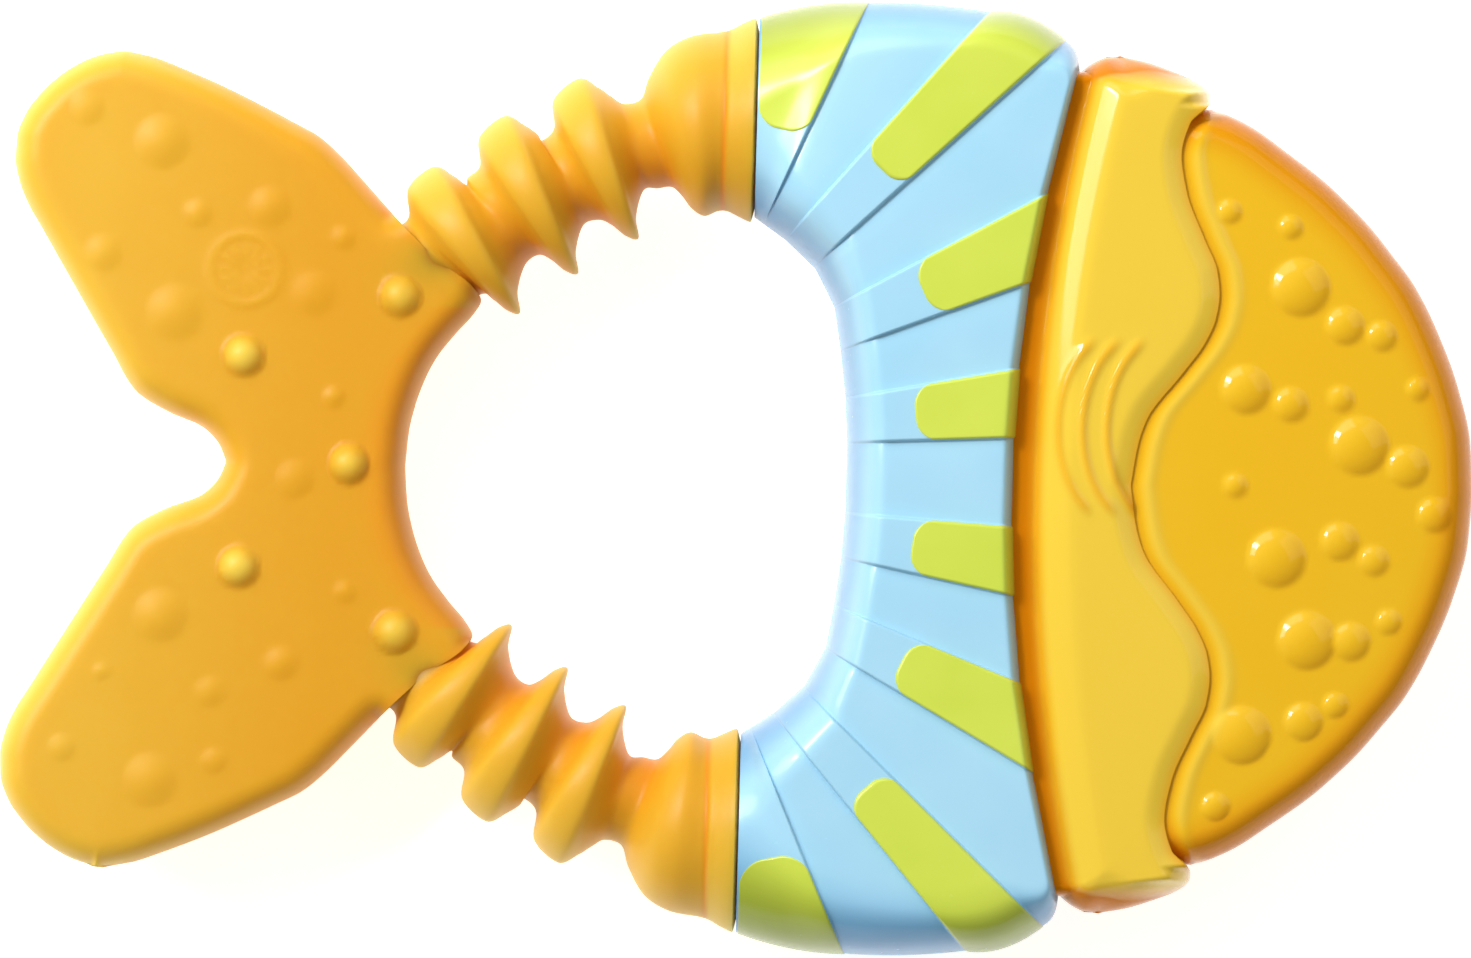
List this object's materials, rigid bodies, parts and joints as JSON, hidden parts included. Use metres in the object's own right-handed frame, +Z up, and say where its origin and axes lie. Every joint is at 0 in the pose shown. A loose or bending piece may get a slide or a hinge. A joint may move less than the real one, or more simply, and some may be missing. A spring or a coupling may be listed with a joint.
{
  "type": "baby teething ring",
  "caption": "Fish-shaped teething ring with a hard C-shaped body, a soft water-filled head with scale bumps, and a soft tail fin on ribbed arms round a finger hole.",
  "frame": {"origin": "centre of the bounding box's footprint, on the surface that the ring lies on", "axes": "+X from the tail to the nose along the middle line, +Y across the ring, +Z up out of the front face; the ring lies on its back"},
  "size_m": [0.128, 0.0832, 0.022],
  "materials": {
    "body_blue": "glossy moulded ABS",
    "stripe_green": "glossy second-shot stripe",
    "head_amber": "glossy soft EVA",
    "water": "clear sealed water",
    "tail_amber": "satin translucent elastomer",
    "anchor_white": "moulded polypropylene"
  },
  "bodies": {
    "ring": {"body_front_shell": "body_blue", "body_back_shell": "body_blue", "front_stripe_1": "stripe_green", "front_stripe_2": "stripe_green", "front_stripe_3": "stripe_green", "front_stripe_4": "stripe_green", "front_stripe_5": "stripe_green", "front_stripe_6": "stripe_green", "front_stripe_7": "stripe_green", "front_stripe_8": "stripe_green", "back_stripe_1": "stripe_green", "back_stripe_2": "stripe_green", "back_stripe_3": "stripe_green", "back_stripe_4": "stripe_green", "back_stripe_5": "stripe_green", "back_stripe_6": "stripe_green", "back_stripe_7": "stripe_green", "back_stripe_8": "stripe_green", "head_front_shell": "head_amber", "head_back_shell": "head_amber", "head_water": "water", "upper_arm_cup": "tail_amber", "lower_arm_cup": "tail_amber", "upper_arm_anchor": "anchor_white", "lower_arm_anchor": "anchor_white"},
    "tail": {"tail_fin": "tail_amber", "upper_arm_ribs": "tail_amber", "lower_arm_ribs": "tail_amber", "upper_arm_neck": "tail_amber", "lower_arm_neck": "tail_amber"}
  },
  "joints": [
    {"name": "tail_flex", "type": "hinge", "parent": "ring", "child": "tail", "pos_m": [-0.015, 0, 0.011], "axis": [0, 1, 0], "range_deg": [-18, 18], "stiffness_Nm_per_rad": 0.2, "deforming": ["upper_arm_neck", "lower_arm_neck"]}
  ]
}
